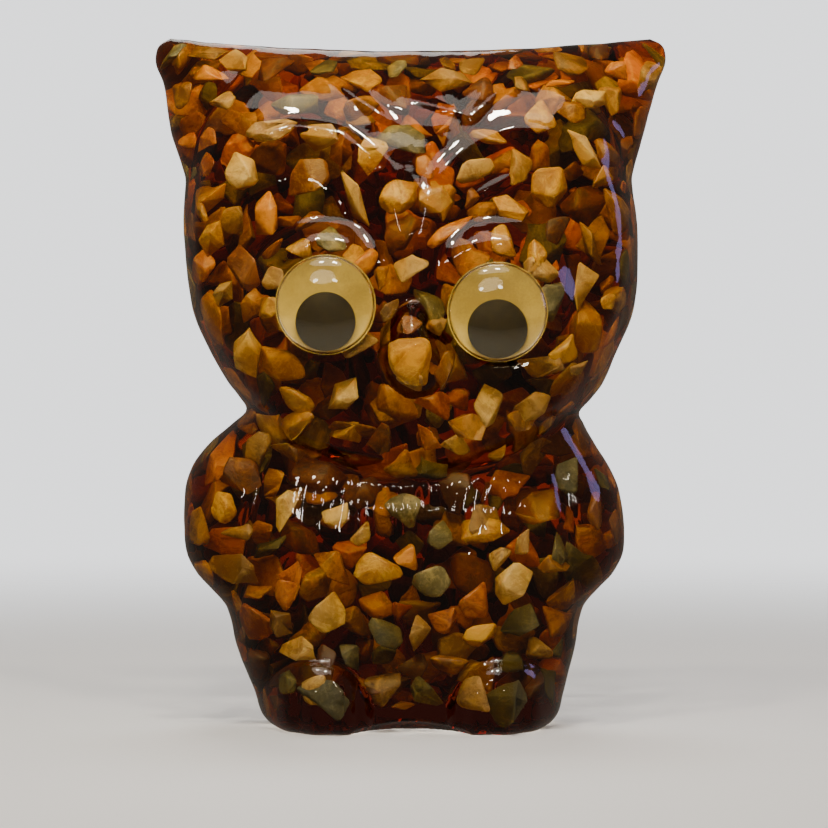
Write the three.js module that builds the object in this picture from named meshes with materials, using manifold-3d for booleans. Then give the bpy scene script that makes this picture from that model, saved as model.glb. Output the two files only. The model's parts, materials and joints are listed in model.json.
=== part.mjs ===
// Owl figurine: a two-part-mould resin casting of an owl, packed with stone chips, with two
// glued-on wobble eyes. Millimetres, +Z up. The owl stands on z = 0 and faces -Y, so its
// left-hand side in a front view is -X.
import * as THREE from 'three';
import { mergeVertices } from 'three/addons/utils/BufferGeometryUtils.js';
import Module from 'manifold-3d';

const wasm = await Module();
wasm.setup();

// ---- driving dimensions ----
const HEIGHT = 144.4; // ear tips above the base
const TOP_SAG = 2.6; // how far the top edge dips between the ears
const PARTING_Y = 6.4; // plane where the two mould halves met
const BASE_ROUND = { front: 4, back: 2 }; // radius where each skin draws in to the base
const TOP_ROUND_FROM = 0.9; // part of the height where the top starts to round over
const FRONT_SIDE_POWER = 5; // the higher, the later the sides round off to the parting line
const BACK_SIDE_POWER = 3.2;
const GAP = 0.3; // clearance between pieces that touch on the real owl
const ROWS = 46;
const COLUMNS = 30;
const ROW_CROWDING = 0.6; // how much closer together the rows lie towards the top

const HEAD_RADIUS = 47;
const HEAD_Z = 101.5;
const DISC = { x: 23.5, z: 100, halfWidth: 21.5, halfHeight: 24.5, sink: 3, ridge: 1.2 };
const BOSS = { x: 17.4, z: 89, flatRadius: 12.2, footRadius: 16.5, depth: 27.8 };
const BEAK = { x: 1.2, z: 79, halfWidth: 7.4, halfHeight: 10, rise: 6.5 };
const FOOT = { x: 19.6, z: 3.5, halfWidth: 12, halfHeight: 12, rise: 6.5 };
const WING_GROOVE = { topX: 29.5, topZ: 60.7, lean: 0.194, width: 2, depth: 1.8 };
const ARCH = { halfWidth: 13.5, halfDepth: 20, height: 4.2, y: -24 };

const EYE = {
  radius: 10, // outside of the capsule
  wall: 0.35, // thickness of the clear cap
  side: 2.3, // straight part of the cap's side
  crown: 3.1, // rise of its dome above the side
  backing: 0.8, // thickness of the backing disc
  glue: 0.6, // thickness of the dab behind it
  glueRadius: 7.5,
};
// The eyes were glued on by hand, so they sit a little unevenly.
const EYE_PLACES = [
  { side: 'left', x: -17.2, z: 88.4 },
  { side: 'right', x: 17.7, z: 86.9 },
];
const PUPIL = { radius: 6.05, thickness: 1, edgeClearance: 0.15 };

// ---- smooth curves through hand-picked [position, value] pairs ----
function curveThrough(pairs) {
  const slope = (i) => {
    const a = pairs[Math.max(i - 1, 0)];
    const b = pairs[Math.min(i + 1, pairs.length - 1)];
    return (b[1] - a[1]) / (b[0] - a[0]);
  };
  return (at) => {
    const t = THREE.MathUtils.clamp(at, pairs[0][0], pairs[pairs.length - 1][0]);
    let i = 0;
    while (i < pairs.length - 2 && t > pairs[i + 1][0]) i += 1;
    const span = pairs[i + 1][0] - pairs[i][0];
    const f = (t - pairs[i][0]) / span;
    const f2 = f * f;
    const f3 = f2 * f;
    return (2 * f3 - 3 * f2 + 1) * pairs[i][1] + (f3 - 2 * f2 + f) * span * slope(i)
      + (3 * f2 - 2 * f3) * pairs[i + 1][1] + (f3 - f2) * span * slope(i + 1);
  };
}

// Half the owl's width at each height, and how far its middle leans to +X there: the wing on
// the owl's -X side is the fuller one, and the head sits slightly towards +X.
const halfWidthAt = curveThrough([
  [0, 28.4], [1, 30], [3, 31.5], [7, 32.6], [11, 33.9], [17, 35.8], [22, 36.7], [25.5, 37.9],
  [29, 41], [32, 43.8], [36, 45.9], [41, 46.4], [47, 46.1], [51, 45.4], [55, 43.6], [59.5, 40.4],
  [63.5, 37], [66, 35.2], [69, 37.2], [72, 39.4], [78, 42.5], [85, 45.7], [91, 47.1], [98, 47.6],
  [105, 47.8], [112, 47.2], [115, 47], [118, 47.7], [124, 49.6], [129, 50.6], [135, 52],
  [139, 53.6], [142, 53.4], [143.4, 52.4], [HEIGHT, 50.4],
]);
const leanAt = curveThrough([
  [0, 0], [7, -0.3], [17, -1], [36, -1.2], [47, -1.6], [55, -2.1], [60, -1.6], [64, -0.4],
  [68, 1.1], [78, 0.7], [91, 0.5], [105, 0], [124, -0.6], [135, 0], [HEIGHT, 0],
]);
// Depth of the front skin before its features: under the head's ball, and on it.
const groundDepthAt = curveThrough([
  [0, 21], [15, 23], [30, 24.5], [45, 22.5], [54, 20.5], [66, 20], [90, 20], [110, 18.5],
  [125, 16.5], [135, 15], [HEIGHT, 13],
]);
const headDepthAt = curveThrough([
  [50, 24], [56, 25.5], [64, 27.5], [76, 28.5], [95, 28], [110, 26], [125, 21.5], [135, 17],
  [HEIGHT, 13],
]);
// Depth of the plainer back skin, pinched a little at the neck.
const backDepthAt = curveThrough([
  [0, 20], [20, 22.5], [38, 22], [56, 18], [66, 17.3], [80, 20.5], [100, 22.5], [118, 20],
  [133, 15.5], [HEIGHT, 12],
]);

const topEdgeAt = (u) => HEIGHT - TOP_SAG * (1 - u * u);
const smooth = (x, from, to) => THREE.MathUtils.smoothstep(x, from, to);
// How a skin rounds off to the parting line at the sides and the top.
const sideRound = (u, power) => Math.sqrt(Math.max(0, 1 - Math.abs(u) ** power));
const topRound = (v) => Math.sqrt(1 - Math.max(0, (v - TOP_ROUND_FROM) / (1 - TOP_ROUND_FROM)) ** 2);

function dome(x, z, bump, power = 0.6) {
  const q = ((x - bump.x) / bump.halfWidth) ** 2 + ((z - bump.z) / bump.halfHeight) ** 2;
  return q < 1 ? bump.rise * (1 - q) ** power : 0;
}

/** Depth of the front skin ahead of the parting plane at a point (x, z) of the outline. */
function frontDepth(x, z, u, v) {
  const side = Math.abs(x);
  const onHead = 1 - smooth(Math.hypot(x, z - HEAD_Z), HEAD_RADIUS - 3, HEAD_RADIUS + 3);
  let depth = THREE.MathUtils.lerp(groundDepthAt(z), headDepthAt(z), onHead);
  const disc = Math.hypot((side - DISC.x) / DISC.halfWidth, (z - DISC.z) / DISC.halfHeight);
  depth -= DISC.sink * (1 - smooth(disc, 0.55, 1));
  depth += DISC.ridge * Math.exp(-(((disc - 1) / 0.08) ** 2));
  const groove = WING_GROOVE.topX + (WING_GROOVE.topZ - z) * WING_GROOVE.lean;
  const belowNeck = 1 - smooth(z, 52, 62);
  depth -= belowNeck * WING_GROOVE.depth * Math.exp(-(((side - groove) / WING_GROOVE.width) ** 2));
  depth += dome(x, z, BEAK) + dome(side, z, FOOT);
  depth *= sideRound(u, FRONT_SIDE_POWER) * topRound(v);
  const boss = smooth(Math.hypot(side - BOSS.x, z - BOSS.z), BOSS.flatRadius, BOSS.footRadius);
  return THREE.MathUtils.lerp(BOSS.depth, depth, boss);
}

const backDepth = (z, u, v) => backDepthAt(z) * sideRound(u, BACK_SIDE_POWER) * topRound(v);

/** How far a skin draws in over the rounded edge just above the base. */
function baseRound(z, u, radius) {
  const up = THREE.MathUtils.clamp(radius - z, 0, radius);
  return (radius - Math.sqrt(radius ** 2 - up ** 2)) * sideRound(u, 2);
}

/** A point of the skin from its place across (u, -1 to 1) and up (v, 0 to 1) the outline. */
function skinPoint(u, v, side) {
  const x = leanAt(v * HEIGHT) + u * halfWidthAt(v * HEIGHT);
  const z = v * topEdgeAt(u);
  const full = side === 'front' ? frontDepth(x, z, u, v) : backDepth(z, u, v);
  const depth = Math.max(0, full - baseRound(z, u, BASE_ROUND[side]));
  return new THREE.Vector3(x, PARTING_Y + (side === 'front' ? -depth : depth), z);
}

/** The skin point straight ahead of (or behind) a given x and z. */
function skinAt(x, z, side) {
  let u = (x - leanAt(z)) / halfWidthAt(z);
  const v = z / topEdgeAt(u);
  u = (x - leanAt(v * HEIGHT)) / halfWidthAt(v * HEIGHT);
  return skinPoint(u, v, side);
}

// ---- pieces ----
const FINISH = {
  resin: { color: 0x4a1a08, roughness: 0.12 },
  glue: { color: 0xc9b68a, roughness: 0.4 },
  backing: { color: 0xbfa35a, roughness: 0.45 },
  cap: { color: 0xe8e2cc, roughness: 0.08 },
  pupil: { color: 0x1c1a12, roughness: 0.5 },
};

/** A named piece with its own material. */
function part(name, geometry, { color, roughness }) {
  const material = new THREE.MeshStandardMaterial({ color, roughness, metalness: 0 });
  const mesh = new THREE.Mesh(geometry, material);
  mesh.name = name;
  return mesh;
}

// ---- solids ----
function solidOf(geometry) {
  const bare = geometry.clone();
  bare.deleteAttribute('normal');
  bare.deleteAttribute('uv');
  const merged = mergeVertices(bare, 1e-4);
  return new wasm.Manifold(new wasm.Mesh({
    numProp: 3,
    vertProperties: new Float32Array(merged.attributes.position.array),
    triVerts: new Uint32Array(merged.index.array),
  }));
}

function geometryOf(solid) {
  const mesh = solid.getMesh();
  const geometry = new THREE.BufferGeometry();
  geometry.setAttribute('position', new THREE.BufferAttribute(mesh.vertProperties, 3));
  geometry.setIndex(new THREE.BufferAttribute(mesh.triVerts, 1));
  geometry.computeVertexNormals();
  return geometry;
}

/** The casting before its stones: front and back skins that share their rim, on a flat base. */
function castingGeometry() {
  const points = [];
  const faces = [];
  const indexOf = { front: [], back: [] };
  const add = (point) => points.push(point.x, point.y, point.z) / 3 - 1;
  for (let row = 0; row <= ROWS; row += 1) {
    const rise = row / ROWS;
    const v = THREE.MathUtils.lerp(rise, Math.sin((Math.PI / 2) * rise), ROW_CROWDING);
    for (let column = 0; column <= COLUMNS; column += 1) {
      const u = Math.sin((Math.PI / 2) * ((2 * column) / COLUMNS - 1));
      const onRim = row === ROWS || column === 0 || column === COLUMNS;
      const front = add(skinPoint(u, v, 'front'));
      indexOf.front.push(front);
      indexOf.back.push(onRim ? front : add(skinPoint(u, v, 'back')));
    }
  }
  const stride = COLUMNS + 1;
  const quad = (a, b, c, d) => faces.push(a, b, c, a, c, d);
  for (let row = 0; row < ROWS; row += 1) {
    for (let column = 0; column < COLUMNS; column += 1) {
      const at = row * stride + column;
      const { front, back } = indexOf;
      quad(front[at], front[at + 1], front[at + 1 + stride], front[at + stride]);
      quad(back[at], back[at + stride], back[at + 1 + stride], back[at + 1]);
    }
  }
  for (let column = 0; column < COLUMNS; column += 1) {
    const { front, back } = indexOf;
    quad(front[column], back[column], back[column + 1], front[column + 1]);
  }
  const geometry = new THREE.BufferGeometry();
  geometry.setAttribute('position', new THREE.Float32BufferAttribute(points, 3));
  geometry.setIndex(faces);
  return geometry;
}

/** The arch between the toes, scooped out of the front of the base. */
function archGeometry() {
  const geometry = new THREE.SphereGeometry(1, 20, 10);
  geometry.scale(ARCH.halfWidth, ARCH.halfDepth, ARCH.height);
  geometry.translate(0, ARCH.y, 0);
  return geometry;
}

// ---- stone chips ----
const STONES = {
  honey: { color: 0xb5761e, roughness: 0.45 },
  tan: { color: 0xb0925e, roughness: 0.55 },
  cream: { color: 0xd0b880, roughness: 0.5 },
  grey: { color: 0x6b6a52, roughness: 0.6 },
  rust: { color: 0x8a3a14, roughness: 0.5 },
  orange: { color: 0xc8640a, roughness: 0.4 },
};

// name, stone, x, z, width, height, turn in degrees as seen from its own side
const FRONT_CHIPS = [
  ['ear_chip_left', 'orange', -41.5, 137, 9, 4, -8],
  ['ear_chip_right', 'orange', 44, 138, 7, 4.4, 20],
  ['brow_chip_1', 'tan', -39.5, 130.2, 7.6, 5.2, 10],
  ['brow_chip_2', 'grey', -23, 130.6, 10, 5, 0],
  ['brow_chip_3', 'tan', 6.9, 136, 12.5, 5.6, 5],
  ['brow_chip_4', 'honey', 25.6, 128, 9, 7.6, -25],
  ['brow_chip_5', 'tan', 36, 121.2, 12.5, 5.6, -48],
  ['brow_chip_6', 'cream', 37.5, 132, 9, 3.8, 18],
  ['brow_chip_7', 'tan', -19.5, 122.4, 8, 5.4, 12],
  ['brow_chip_8', 'grey', -1.6, 122.4, 11, 7.6, -5],
  ['face_chip_1', 'cream', -35, 115.4, 6, 7.4, 20],
  ['face_chip_2', 'orange', -29.4, 107, 4.4, 9, 0],
  ['face_chip_3', 'tan', -12.6, 110.6, 7.4, 12, 28],
  ['face_chip_4', 'honey', -1.4, 111.4, 8, 7.4, 10],
  ['face_chip_5', 'tan', 12.6, 116, 12, 5.4, 8],
  ['face_chip_6', 'orange', 8, 103.6, 12, 5, 26],
  ['face_chip_7', 'honey', 28.8, 112.6, 7.4, 9.4, -5],
  ['face_chip_8', 'honey', -42, 101, 5, 9, -8],
  ['face_chip_9', 'rust', -34.6, 95.6, 8, 11, 12],
  ['face_chip_10', 'tan', 0.6, 95.6, 9, 6.4, -12],
  ['face_chip_11', 'tan', 35.8, 94, 5.6, 13, -12],
  ['face_chip_12', 'honey', 31.2, 79.8, 6, 8.6, 15],
  ['face_chip_13', 'cream', -13.6, 70.6, 6, 8, -25],
  ['face_chip_14', 'honey', -23, 69.6, 7.4, 7, 0],
  ['face_chip_15', 'cream', 16.6, 69, 5.6, 11.6, -8],
  ['beak_chip', 'honey', 1.2, 80.4, 8.4, 12, 0],
  ['chin_chip_1', 'orange', 3.4, 61.2, 8, 5, -30],
  ['chin_chip_2', 'tan', 25.6, 66.4, 8.4, 5.4, 28],
  ['belly_chip_1', 'cream', -25.4, 45.6, 5, 8, -10],
  ['belly_chip_2', 'cream', -15.4, 45.6, 6, 7, 25],
  ['belly_chip_3', 'grey', 0.4, 46.4, 11, 7.4, -10],
  ['belly_chip_4', 'honey', 14.8, 42, 11, 5.8, 5],
  ['belly_chip_5', 'honey', -6.4, 33.8, 9, 8.4, 35],
  ['belly_chip_6', 'grey', 5, 32.8, 8, 8.4, -35],
  ['belly_chip_7', 'cream', 21.4, 31.6, 8.6, 8.4, 0],
  ['belly_chip_8', 'cream', -16.2, 25.4, 8, 9, -20],
  ['belly_chip_9', 'tan', 2, 20.4, 5.4, 9, 12],
  ['belly_chip_10', 'honey', 14, 20.4, 9, 4.6, 14],
  ['belly_chip_11', 'tan', -24, 16.4, 7, 6.8, -15],
  ['foot_chip_left', 'grey', -17.8, 6.6, 8.4, 5.6, 0],
  ['foot_chip_right', 'grey', 20, 7.4, 9, 6.4, 20],
  ['wing_chip_left', 'honey', -39.4, 46.4, 5.4, 7.4, 0],
  ['wing_chip_right', 'rust', 39, 46.4, 5.4, 8, 0],
];
const BACK_CHIPS = [
  ['back_chip_1', 'honey', -20, 118, 9, 7, 20],
  ['back_chip_2', 'tan', 18, 108, 11, 7, -30],
  ['back_chip_3', 'cream', -4, 92, 8, 9, 10],
  ['back_chip_4', 'grey', 24, 80, 9, 6, 40],
  ['back_chip_5', 'orange', -22, 52, 7, 8, -15],
  ['back_chip_6', 'tan', 12, 44, 10, 7, 25],
  ['back_chip_7', 'honey', -8, 22, 9, 8, -35],
];
const CHIP_DEPTH = 5;
const CHIP_FILL = 1.13; // makes up for a faceted chip's waist being narrower than its corners
const CHIP_UNEVENNESS = 0.2; // how far a chip's corners stray from a regular solid
const FACING = { front: new THREE.Vector3(0, -1, 0), back: new THREE.Vector3(0, 1, 0) };

/** A repeatable number from 0 to 1 for each whole number. */
function scatter(n) {
  const value = Math.sin(n * 12.9898) * 43758.5453;
  return value - Math.floor(value);
}

/** Outward direction of the skin at a point, from two short steps across it. */
function skinNormal(x, z, side) {
  const step = 1.5;
  const across = skinAt(x + step, z, side).sub(skinAt(x - step, z, side));
  const up = skinAt(x, z + step, side).sub(skinAt(x, z - step, side));
  const normal = across.cross(up).normalize();
  return side === 'front' ? normal : normal.negate();
}

function bareIcosahedron() {
  const geometry = new THREE.IcosahedronGeometry(1, 0);
  geometry.deleteAttribute('normal');
  geometry.deleteAttribute('uv');
  return geometry;
}

/** A rough chip bedded in the skin, grown by `extra` on every side to shape its pocket. */
function chipSolid([, , x, z, width, height, turn], side, seed, extra) {
  const geometry = mergeVertices(bareIcosahedron());
  const corner = geometry.attributes.position;
  for (let i = 0; i < corner.count; i += 1) {
    const stretch = 1 + CHIP_UNEVENNESS * (2 * scatter(seed * 40 + i) - 1);
    corner.setXYZ(i, corner.getX(i) * stretch, corner.getY(i) * stretch, corner.getZ(i) * stretch);
  }
  const fill = CHIP_FILL / 2;
  geometry.scale(width * fill + extra, CHIP_DEPTH * fill + extra, height * fill + extra);
  geometry.rotateY(THREE.MathUtils.degToRad(side === 'front' ? -turn : turn));
  const lean = new THREE.Quaternion().setFromUnitVectors(FACING[side], skinNormal(x, z, side));
  geometry.applyQuaternion(lean);
  const middle = skinAt(x, z, side);
  geometry.translate(middle.x, middle.y, middle.z);
  return solidOf(geometry);
}

function bedChips(casting, chips, side, firstSeed) {
  let bed = casting;
  const stones = chips.map((chip, i) => {
    bed = bed.subtract(chipSolid(chip, side, firstSeed + i, GAP));
    const stone = chipSolid(chip, side, firstSeed + i, 0).intersect(casting);
    return part(chip[0], geometryOf(stone), STONES[chip[1]]);
  });
  return { bed, stones };
}

// ---- wobble eyes: built about the origin, back towards +Z, then laid on the face ----
function lathe(profile, segments = 40) {
  return new THREE.LatheGeometry(profile.map(([r, y]) => new THREE.Vector2(r, y)), segments);
}

const disc = (radius, from, to) => lathe([[0, from], [radius, from], [radius, to], [0, to]]);

/** The clear cap: a straight side, then a shallow dome, open where it meets the backing. */
function capGeometry(from) {
  const steps = 7;
  const arc = (radius, shoulder, crown) => Array.from({ length: steps + 1 }, (_, i) => {
    const angle = (Math.PI / 2) * (i / steps);
    return [radius * Math.cos(angle), shoulder + crown * Math.sin(angle)];
  });
  const outer = arc(EYE.radius, from + EYE.side, EYE.crown);
  const inner = arc(EYE.radius - EYE.wall, from + EYE.side, EYE.crown - EYE.wall);
  const onAxis = (points) => points.map(([r, y], i) => (i === steps ? [0, y] : [r, y]));
  return lathe([
    ...onAxis(inner).reverse(), [EYE.radius - EYE.wall, from], [EYE.radius, from], ...onAxis(outer),
  ]);
}

function eye({ side, x, z }) {
  const glueTop = EYE.glue;
  const backingFrom = glueTop + GAP;
  const backingTop = backingFrom + EYE.backing;
  const hang = EYE.radius - EYE.wall - PUPIL.edgeClearance - PUPIL.radius;
  const pieces = [
    part(`eye_glue_${side}`, disc(EYE.glueRadius, 0, glueTop), FINISH.glue),
    part(`eye_backing_${side}`, disc(EYE.radius, backingFrom, backingTop), FINISH.backing),
    part(`eye_pupil_${side}`, disc(PUPIL.radius, 0, PUPIL.thickness), FINISH.pupil),
    part(`eye_cap_${side}`, capGeometry(backingTop + GAP), FINISH.cap),
  ];
  pieces[2].position.set(0, backingTop + GAP, -hang);
  const group = new THREE.Group();
  group.add(...pieces);
  group.rotation.z = Math.PI; // the lathes' +Y now looks along -Y, out of the face
  group.position.set(x, PARTING_Y - BOSS.depth - GAP, z);
  return group;
}

// ---- assembly ----
function owl() {
  const casting = solidOf(castingGeometry()).subtract(solidOf(archGeometry()));
  const front = bedChips(casting, FRONT_CHIPS, 'front', 1);
  const back = bedChips(casting, BACK_CHIPS, 'back', 101);
  const body = front.bed.intersect(back.bed);
  const group = new THREE.Group();
  group.add(part('resin_body', geometryOf(body), FINISH.resin), ...front.stones, ...back.stones);
  group.add(...EYE_PLACES.map(eye));
  return group;
}

const group = owl();
const box = new THREE.Box3().setFromObject(group);
group.position.y = -(box.min.y + box.max.y) / 2;
group.updateMatrixWorld(true);

export default group;
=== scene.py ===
"""Looks of the owl figurine: a glossy amber resin casting packed with stone chips.

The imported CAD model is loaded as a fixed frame. The casting's fine skin is worked out from the
same outline and depth curves as its CAD solid, the chips are packed just under it, and the two
wobble eyes are turned finely in the places that the frame gives. Sizes are in millimetres
until a mesh is made, and Blender's own units are metres.
"""

import json
import logging
import math
from dataclasses import dataclass, replace
from enum import Enum

import bmesh
import bpy
import numpy as np
from mathutils import Matrix, Vector, noise
from mathutils.bvhtree import BVHTree


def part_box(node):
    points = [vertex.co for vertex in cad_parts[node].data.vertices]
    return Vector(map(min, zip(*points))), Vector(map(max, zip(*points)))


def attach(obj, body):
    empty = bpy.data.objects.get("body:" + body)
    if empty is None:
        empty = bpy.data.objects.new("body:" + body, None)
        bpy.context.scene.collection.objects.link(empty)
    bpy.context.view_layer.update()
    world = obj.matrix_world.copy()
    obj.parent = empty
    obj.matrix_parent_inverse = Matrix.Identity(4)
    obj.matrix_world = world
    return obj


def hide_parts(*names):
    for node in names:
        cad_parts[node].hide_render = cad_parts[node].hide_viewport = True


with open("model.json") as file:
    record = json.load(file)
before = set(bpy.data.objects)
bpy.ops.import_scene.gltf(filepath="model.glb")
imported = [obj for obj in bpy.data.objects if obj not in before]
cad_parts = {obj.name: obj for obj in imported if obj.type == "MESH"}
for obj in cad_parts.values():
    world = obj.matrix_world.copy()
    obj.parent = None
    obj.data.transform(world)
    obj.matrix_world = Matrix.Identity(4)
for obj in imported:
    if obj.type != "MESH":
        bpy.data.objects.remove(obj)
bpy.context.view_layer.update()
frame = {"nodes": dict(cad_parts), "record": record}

LOG = logging.getLogger("owl")
MM = 0.001
ON_AXIS_MM = 1e-6
FAR_MM = 200.0  # further than any two points of the owl
TONE = "chip_tone"

Array = np.ndarray
Rgb = tuple[float, float, float]
Pairs = tuple[tuple[float, float], ...] | list[tuple[float, float]]
Stops = tuple[tuple[float, str], ...]


# ---------------------------------------------------------------- small helpers


def linear(hex_colour: str) -> tuple[float, float, float, float]:
    """Turn an sRGB hex colour into linear RGBA.

    Args:
        hex_colour: Six hex digits, with or without a leading hash.

    Returns:
        Linear red, green and blue, and an alpha of 1.
    """
    digits = hex_colour.lstrip("#")
    parts = [int(digits[i : i + 2], 16) / 255 for i in (0, 2, 4)]
    toned = [p / 12.92 if p <= 0.04045 else ((p + 0.055) / 1.055) ** 2.4 for p in parts]
    return (toned[0], toned[1], toned[2], 1.0)


def smoothstep(value: Array, low: float, high: float) -> Array:
    """Ease from 0 at low to 1 at high."""
    t = np.clip((value - low) / (high - low), 0, 1)
    return t * t * (3 - 2 * t)


def curve_through(pairs: Pairs, at: Array) -> Array:
    """Follow a smooth curve through given points, held level beyond its ends.

    Args:
        pairs: Positions and values, in rising order of position.
        at: The positions to read.

    Returns:
        The curve's value at each position.
    """
    where = np.array([p[0] for p in pairs], float)
    value = np.array([p[1] for p in pairs], float)
    last = len(pairs) - 1
    before = np.maximum(np.arange(last + 1) - 1, 0)
    after = np.minimum(np.arange(last + 1) + 1, last)
    slope = (value[after] - value[before]) / (where[after] - where[before])
    t = np.clip(at, where[0], where[-1])
    i = np.clip(np.searchsorted(where, t, side="left") - 1, 0, last - 1)
    span = where[i + 1] - where[i]
    f = (t - where[i]) / span
    f2, f3 = f**2, f**3
    return (
        (2 * f3 - 3 * f2 + 1) * value[i]
        + (f3 - 2 * f2 + f) * span * slope[i]
        + (3 * f2 - 2 * f3) * value[i + 1]
        + (f3 - f2) * span * slope[i + 1]
    )


def mesh_object(name: str, points_mm: Array, faces: list, smooth: bool = True) -> bpy.types.Object:
    """Make a mesh object from points in millimetres.

    Args:
        name: The object's name.
        points_mm: One row of x, y, z for each vertex.
        faces: Vertex indices of each face.
        smooth: Whether its faces are shaded smooth.

    Returns:
        The new object, linked to the scene.
    """
    mesh = bpy.data.meshes.new(name)
    mesh.from_pydata((np.asarray(points_mm) * MM).tolist(), [], faces)
    mesh.polygons.foreach_set("use_smooth", [smooth] * len(mesh.polygons))
    mesh.update()
    made = bpy.data.objects.new(name, mesh)
    bpy.context.scene.collection.objects.link(made)
    return made


def bridge(low: list[int], high: list[int], closed: bool = False) -> list[list[int]]:
    """Join two rows of vertices with faces, where corners may fall together.

    Args:
        low: Vertex numbers of one row.
        high: Vertex numbers of the other row, of the same length.
        closed: Whether the rows run round and meet themselves.

    Returns:
        The faces, without those that have shrunk to a line.
    """
    faces = []
    for i in range(len(low) if closed else len(low) - 1):
        j = (i + 1) % len(low)
        corners = list(dict.fromkeys([low[i], low[j], high[j], high[i]]))
        if len(corners) > 2:
            faces.append(corners)
    return faces


def lathe_mesh(name: str, profile: Pairs, segments: int) -> bpy.types.Object:
    """Turn a profile about the local Y axis into a closed solid.

    Args:
        name: The object's name.
        profile: Radius and height along the axis, in millimetres, from axis to axis.
        segments: Steps round the axis.

    Returns:
        The turned object.
    """
    points: list[tuple[float, float, float]] = []
    rings: list[list[int]] = []
    for radius, along in profile:
        first = len(points)
        if radius < ON_AXIS_MM:
            points.append((0.0, along, 0.0))
            rings.append([first] * segments)
            continue
        for i in range(segments):
            angle = math.tau * i / segments
            points.append((radius * math.sin(angle), along, radius * math.cos(angle)))
        rings.append(list(range(first, first + segments)))
    faces = []
    for low, high in zip(rings, rings[1:]):
        faces += bridge(low, high, closed=True)
    made = mesh_object(name, np.array(points), faces)
    face_outwards(made)
    return made


def face_outwards(piece: bpy.types.Object) -> None:
    """Turn all of a closed mesh's faces outwards.

    Args:
        piece: The mesh object.
    """
    bm = bmesh.new()
    bm.from_mesh(piece.data)
    bmesh.ops.recalc_face_normals(bm, faces=bm.faces)
    if bm.calc_volume(signed=True) < 0:
        bmesh.ops.reverse_faces(bm, faces=bm.faces)
    bm.to_mesh(piece.data)
    bm.free()


# ---------------------------------------------------------------- materials


class Tree:
    """A material's node tree, with its output and Principled shader at hand."""

    def __init__(self, name: str) -> None:
        """Start an empty material of that name."""
        self.material = bpy.data.materials.new(name)
        self.material.use_nodes = True
        self.nodes = self.material.node_tree.nodes
        self.links = self.material.node_tree.links
        self.nodes.clear()
        self.output = self.add("ShaderNodeOutputMaterial")
        self.shader = self.add("ShaderNodeBsdfPrincipled")
        self.links.new(self.shader.outputs["BSDF"], self.output.inputs["Surface"])

    def add(
        self, kind: str, inputs: dict | None = None, stops: Stops = (), **settings: object
    ) -> bpy.types.Node:
        """Add a node with its settings, and set or link its inputs.

        Args:
            kind: Blender's type name of the node.
            inputs: Input name or number to a value, or to an output socket that feeds it.
            stops: A colour ramp's places and hex colours, in rising order of place.
            **settings: Properties of the node itself.

        Returns:
            The new node.
        """
        node = self.nodes.new(kind)
        for place, _ in stops[1:-1]:
            node.color_ramp.elements.new(place)
        for i, (place, colour) in enumerate(stops):
            node.color_ramp.elements[i].position = place
            node.color_ramp.elements[i].color = linear(colour)
        for name, value in settings.items():
            setattr(node, name, value)
        for name, value in (inputs or {}).items():
            if isinstance(value, bpy.types.NodeSocket):
                self.links.new(value, node.inputs[name])
            else:
                node.inputs[name].default_value = value
        return node

    def set(self, **values: object) -> None:
        """Set or link sockets of the Principled shader.

        Args:
            **values: Socket names, with underscores for spaces, to values or output sockets.
        """
        for name, value in values.items():
            socket = self.shader.inputs[name.replace("_", " ")]
            if isinstance(value, bpy.types.NodeSocket):
                self.links.new(value, socket)
            else:
                socket.default_value = value


@dataclass(frozen=True)
class CastResin:
    """Clear amber polyester casting resin, glossy from a polished mould and yellowed with age.

    It reads as a wet, deep honey gloss over the chips, and goes reddish brown within a
    centimetre, where the resin is thick.
    """

    name: str = "cast_polyester_resin"
    ior: float = 1.56
    roughness: float = 0.0
    tint: str = "#FFF3DC"
    # What passes a unit of resin, by colour: red goes deep, green fades and blue goes first.
    passes: Rgb = (0.93, 0.81, 0.15)
    density_per_m: float = 580.0
    ripple_mm: float = 3.2
    ripple_depth_mm: float = 0.05

    def build(self) -> bpy.types.Material:
        """Return the resin: a refracting surface over a plain absorbing volume."""
        tree = Tree(self.name)
        where = tree.add("ShaderNodeTexCoord").outputs["Object"]
        ripple = tree.add(
            "ShaderNodeTexNoise",
            {"Vector": where, "Scale": 1 / (self.ripple_mm * MM), "Detail": 2.0, "Roughness": 0.45},
        )
        bump = tree.add(
            "ShaderNodeBump",
            {"Height": ripple.outputs["Fac"], "Distance": self.ripple_depth_mm * MM, "Strength": 1.0},
        )
        tree.set(
            Base_Color=linear(self.tint), Roughness=self.roughness, IOR=self.ior,
            Transmission_Weight=1.0, Normal=bump.outputs["Normal"],
        )
        volume = tree.add(
            "ShaderNodeVolumeAbsorption", {"Color": (*self.passes, 1.0), "Density": self.density_per_m}
        )
        tree.links.new(volume.outputs["Volume"], tree.output.inputs["Volume"])
        return tree.material


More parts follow.
